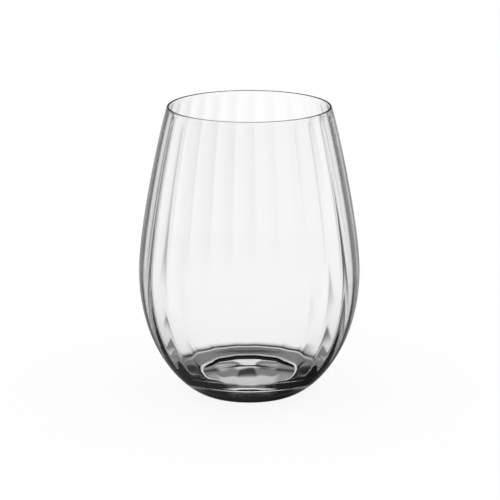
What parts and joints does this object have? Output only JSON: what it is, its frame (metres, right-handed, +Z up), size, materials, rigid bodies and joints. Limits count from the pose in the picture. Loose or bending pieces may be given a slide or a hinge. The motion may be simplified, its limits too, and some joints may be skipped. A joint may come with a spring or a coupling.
{
  "type": "stemless water glass",
  "caption": "Clear egg-shaped stemless water glass with a smooth outside, flat optic panels inside, a thin rounded lip and a heavy base with a punt.",
  "frame": {"origin": "centre of the foot ring, on the table", "axes": "+Z up along the glass's axis, from the foot to the lip; +X and +Y level, with +Y away from the viewer"},
  "size_m": [0.091, 0.091, 0.12],
  "materials": {
    "clear_glass": "clear, fire-polished"
  },
  "bodies": {
    "root": {"tumbler": "clear_glass"}
  },
  "joints": []
}
